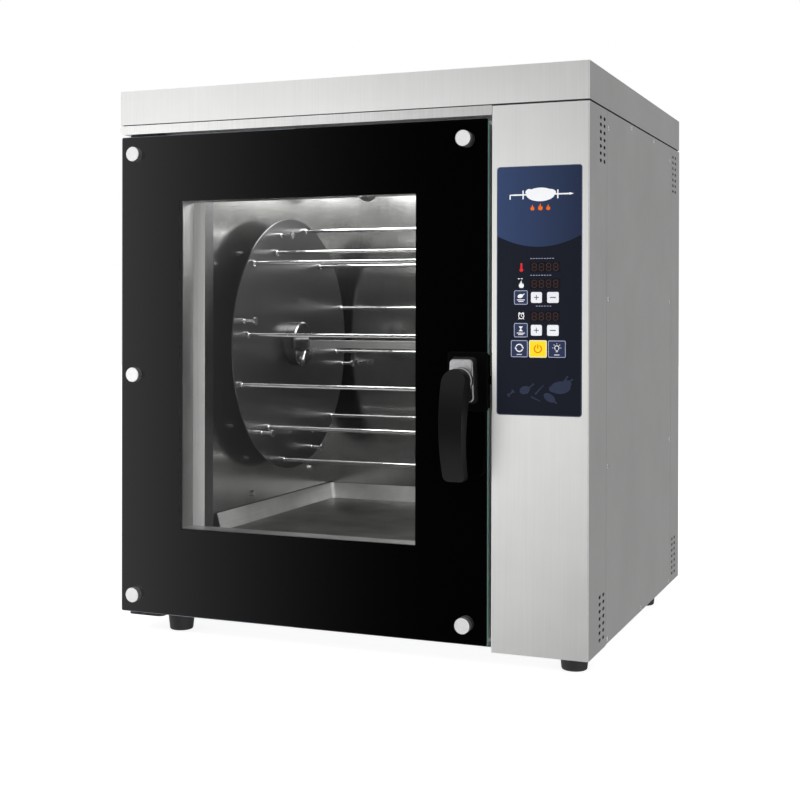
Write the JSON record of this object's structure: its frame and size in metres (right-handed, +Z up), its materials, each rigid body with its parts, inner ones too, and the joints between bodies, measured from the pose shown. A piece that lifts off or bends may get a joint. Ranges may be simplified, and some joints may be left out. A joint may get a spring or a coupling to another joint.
{
  "type": "rotisserie oven",
  "caption": "Free-standing electric rotisserie oven with a hinged glass door, turning two-disc rotor with forked spits, drip tray and side control column.",
  "frame": {"origin": "on the floor, at the middle of the oven's bounding box", "axes": "+Z up, -Y towards the user in front of the door, +X to the right seen from the front"},
  "size_m": [1.0028, 0.979, 1.124],
  "materials": {
    "brushed_steel": "satin, vertical grain",
    "dark_steel": "satin black",
    "galvanised_steel": "matt",
    "black_rubber": "matt",
    "screw_steel": "bright",
    "liner_steel": "satin",
    "mineral_wool": "fibrous",
    "silicone": "matt",
    "element_steel": "heat darkened",
    "lamp_glass": "clear",
    "motor_paint": "satin",
    "cast_bearing": "machined",
    "keypad_film": "satin film",
    "display_window": "gloss",
    "board_green": "satin",
    "black_plastic": "satin",
    "door_glass": "clear, polished edges",
    "black_print": "gloss ceramic print",
    "inner_glass": "clear",
    "standoff_steel": "fine turned",
    "latch_black": "satin",
    "chrome": "satin chrome",
    "grip_black": "satin",
    "disc_steel": "satin",
    "rod_steel": "polished",
    "key_blue": "satin film",
    "key_white": "satin film",
    "key_yellow": "satin film"
  },
  "bodies": {
    "cabinet": {"top_cap": "brushed_steel", "top_deck": "dark_steel", "front_frame": "brushed_steel", "control_column": "brushed_steel", "side_panels": "brushed_steel", "rear_corner_posts": "brushed_steel", "rear_panel": "brushed_steel", "base_pan": "galvanised_steel", "rubber_feet": "black_rubber", "screws": "screw_steel", "cavity_liner": "liner_steel", "insulation_slabs": "mineral_wool", "door_gasket": "silicone", "heating_elements": "element_steel", "cavity_lamp": "lamp_glass", "temperature_probe": "screw_steel", "tray_rails": "liner_steel", "exhaust_collar": "liner_steel", "gear_motor": "motor_paint", "motor_bracket": "galvanised_steel", "shaft_bearings": "cast_bearing", "hinge_brackets": "dark_steel", "latch_strike": "screw_steel", "keypad_panel": "keypad_film", "display_modules": "display_window", "control_board": "board_green", "mains_inlet": "black_plastic"},
    "door": {"door_glass_outer": "door_glass", "glass_print": "black_print", "door_frame": "liner_steel", "door_glass_inner": "inner_glass", "glass_clips": "screw_steel", "glass_standoffs": "standoff_steel", "latch_plate": "latch_black", "latch_housing": "chrome"},
    "handle": {"latch_lever": "chrome", "latch_tongue": "screw_steel", "handle_grip": "grip_black"},
    "rotor": {"rotor_discs": "disc_steel", "disc_hubs": "disc_steel", "central_bar": "rod_steel", "rotor_shafts": "rod_steel", "basket_pins": "rod_steel", "thumb_screws": "rod_steel"},
    "spit_1": {"spit_1": "rod_steel"},
    "spit_2": {"spit_2": "rod_steel"},
    "spit_3": {"spit_3": "rod_steel"},
    "spit_4": {"spit_4": "rod_steel"},
    "spit_5": {"spit_5": "rod_steel"},
    "spit_6": {"spit_6": "rod_steel"},
    "drip_tray": {"drip_tray": "liner_steel"},
    "key_temperature": {"key_temperature": "key_blue"},
    "key_temperature_up": {"key_temperature_up": "key_white"},
    "key_temperature_down": {"key_temperature_down": "key_white"},
    "key_time": {"key_time": "key_blue"},
    "key_time_up": {"key_time_up": "key_white"},
    "key_time_down": {"key_time_down": "key_white"},
    "key_rotate": {"key_rotate": "key_blue"},
    "key_power": {"key_power": "key_yellow"},
    "key_lamp": {"key_lamp": "key_blue"}
  },
  "joints": [
    {"name": "door_swing", "type": "hinge", "parent": "cabinet", "child": "door", "pos_m": [-0.47, -0.3755, 0.532], "axis": [0, 0, -1], "range_deg": [0, 110]},
    {"name": "handle_turn", "type": "hinge", "parent": "door", "child": "handle", "pos_m": [0.262, -0.4055, 0.539], "axis": [0, 1, 0], "range_deg": [0, 90]},
    {"name": "rotor_spin", "type": "hinge", "parent": "cabinet", "child": "rotor", "pos_m": [0, -0.0205, 0.593], "axis": [1, 0, 0], "continuous": true},
    {"name": "spit_1_slide", "type": "slide", "parent": "rotor", "child": "spit_1", "axis": [1, 0, 0], "range_m": [0, 0.018]},
    {"name": "spit_2_slide", "type": "slide", "parent": "rotor", "child": "spit_2", "axis": [1, 0, 0], "range_m": [0, 0.018]},
    {"name": "spit_3_slide", "type": "slide", "parent": "rotor", "child": "spit_3", "axis": [1, 0, 0], "range_m": [0, 0.018]},
    {"name": "spit_4_slide", "type": "slide", "parent": "rotor", "child": "spit_4", "axis": [1, 0, 0], "range_m": [0, 0.018]},
    {"name": "spit_5_slide", "type": "slide", "parent": "rotor", "child": "spit_5", "axis": [1, 0, 0], "range_m": [0, 0.018]},
    {"name": "spit_6_slide", "type": "slide", "parent": "rotor", "child": "spit_6", "axis": [1, 0, 0], "range_m": [0, 0.018]},
    {"name": "tray_slide", "type": "slide", "parent": "cabinet", "child": "drip_tray", "axis": [0, -1, 0], "range_m": [0, 0.027]},
    {"name": "key_temperature_press", "type": "slide", "parent": "cabinet", "child": "key_temperature", "axis": [0, 1, 0], "range_m": [0, 0.0005], "stiffness_N_per_m": 1500},
    {"name": "key_temperature_up_press", "type": "slide", "parent": "cabinet", "child": "key_temperature_up", "axis": [0, 1, 0], "range_m": [0, 0.0005], "stiffness_N_per_m": 1500},
    {"name": "key_temperature_down_press", "type": "slide", "parent": "cabinet", "child": "key_temperature_down", "axis": [0, 1, 0], "range_m": [0, 0.0005], "stiffness_N_per_m": 1500},
    {"name": "key_time_press", "type": "slide", "parent": "cabinet", "child": "key_time", "axis": [0, 1, 0], "range_m": [0, 0.0005], "stiffness_N_per_m": 1500},
    {"name": "key_time_up_press", "type": "slide", "parent": "cabinet", "child": "key_time_up", "axis": [0, 1, 0], "range_m": [0, 0.0005], "stiffness_N_per_m": 1500},
    {"name": "key_time_down_press", "type": "slide", "parent": "cabinet", "child": "key_time_down", "axis": [0, 1, 0], "range_m": [0, 0.0005], "stiffness_N_per_m": 1500},
    {"name": "key_rotate_press", "type": "slide", "parent": "cabinet", "child": "key_rotate", "axis": [0, 1, 0], "range_m": [0, 0.0005], "stiffness_N_per_m": 1500},
    {"name": "key_power_press", "type": "slide", "parent": "cabinet", "child": "key_power", "axis": [0, 1, 0], "range_m": [0, 0.0005], "stiffness_N_per_m": 1500},
    {"name": "key_lamp_press", "type": "slide", "parent": "cabinet", "child": "key_lamp", "axis": [0, 1, 0], "range_m": [0, 0.0005], "stiffness_N_per_m": 1500}
  ]
}
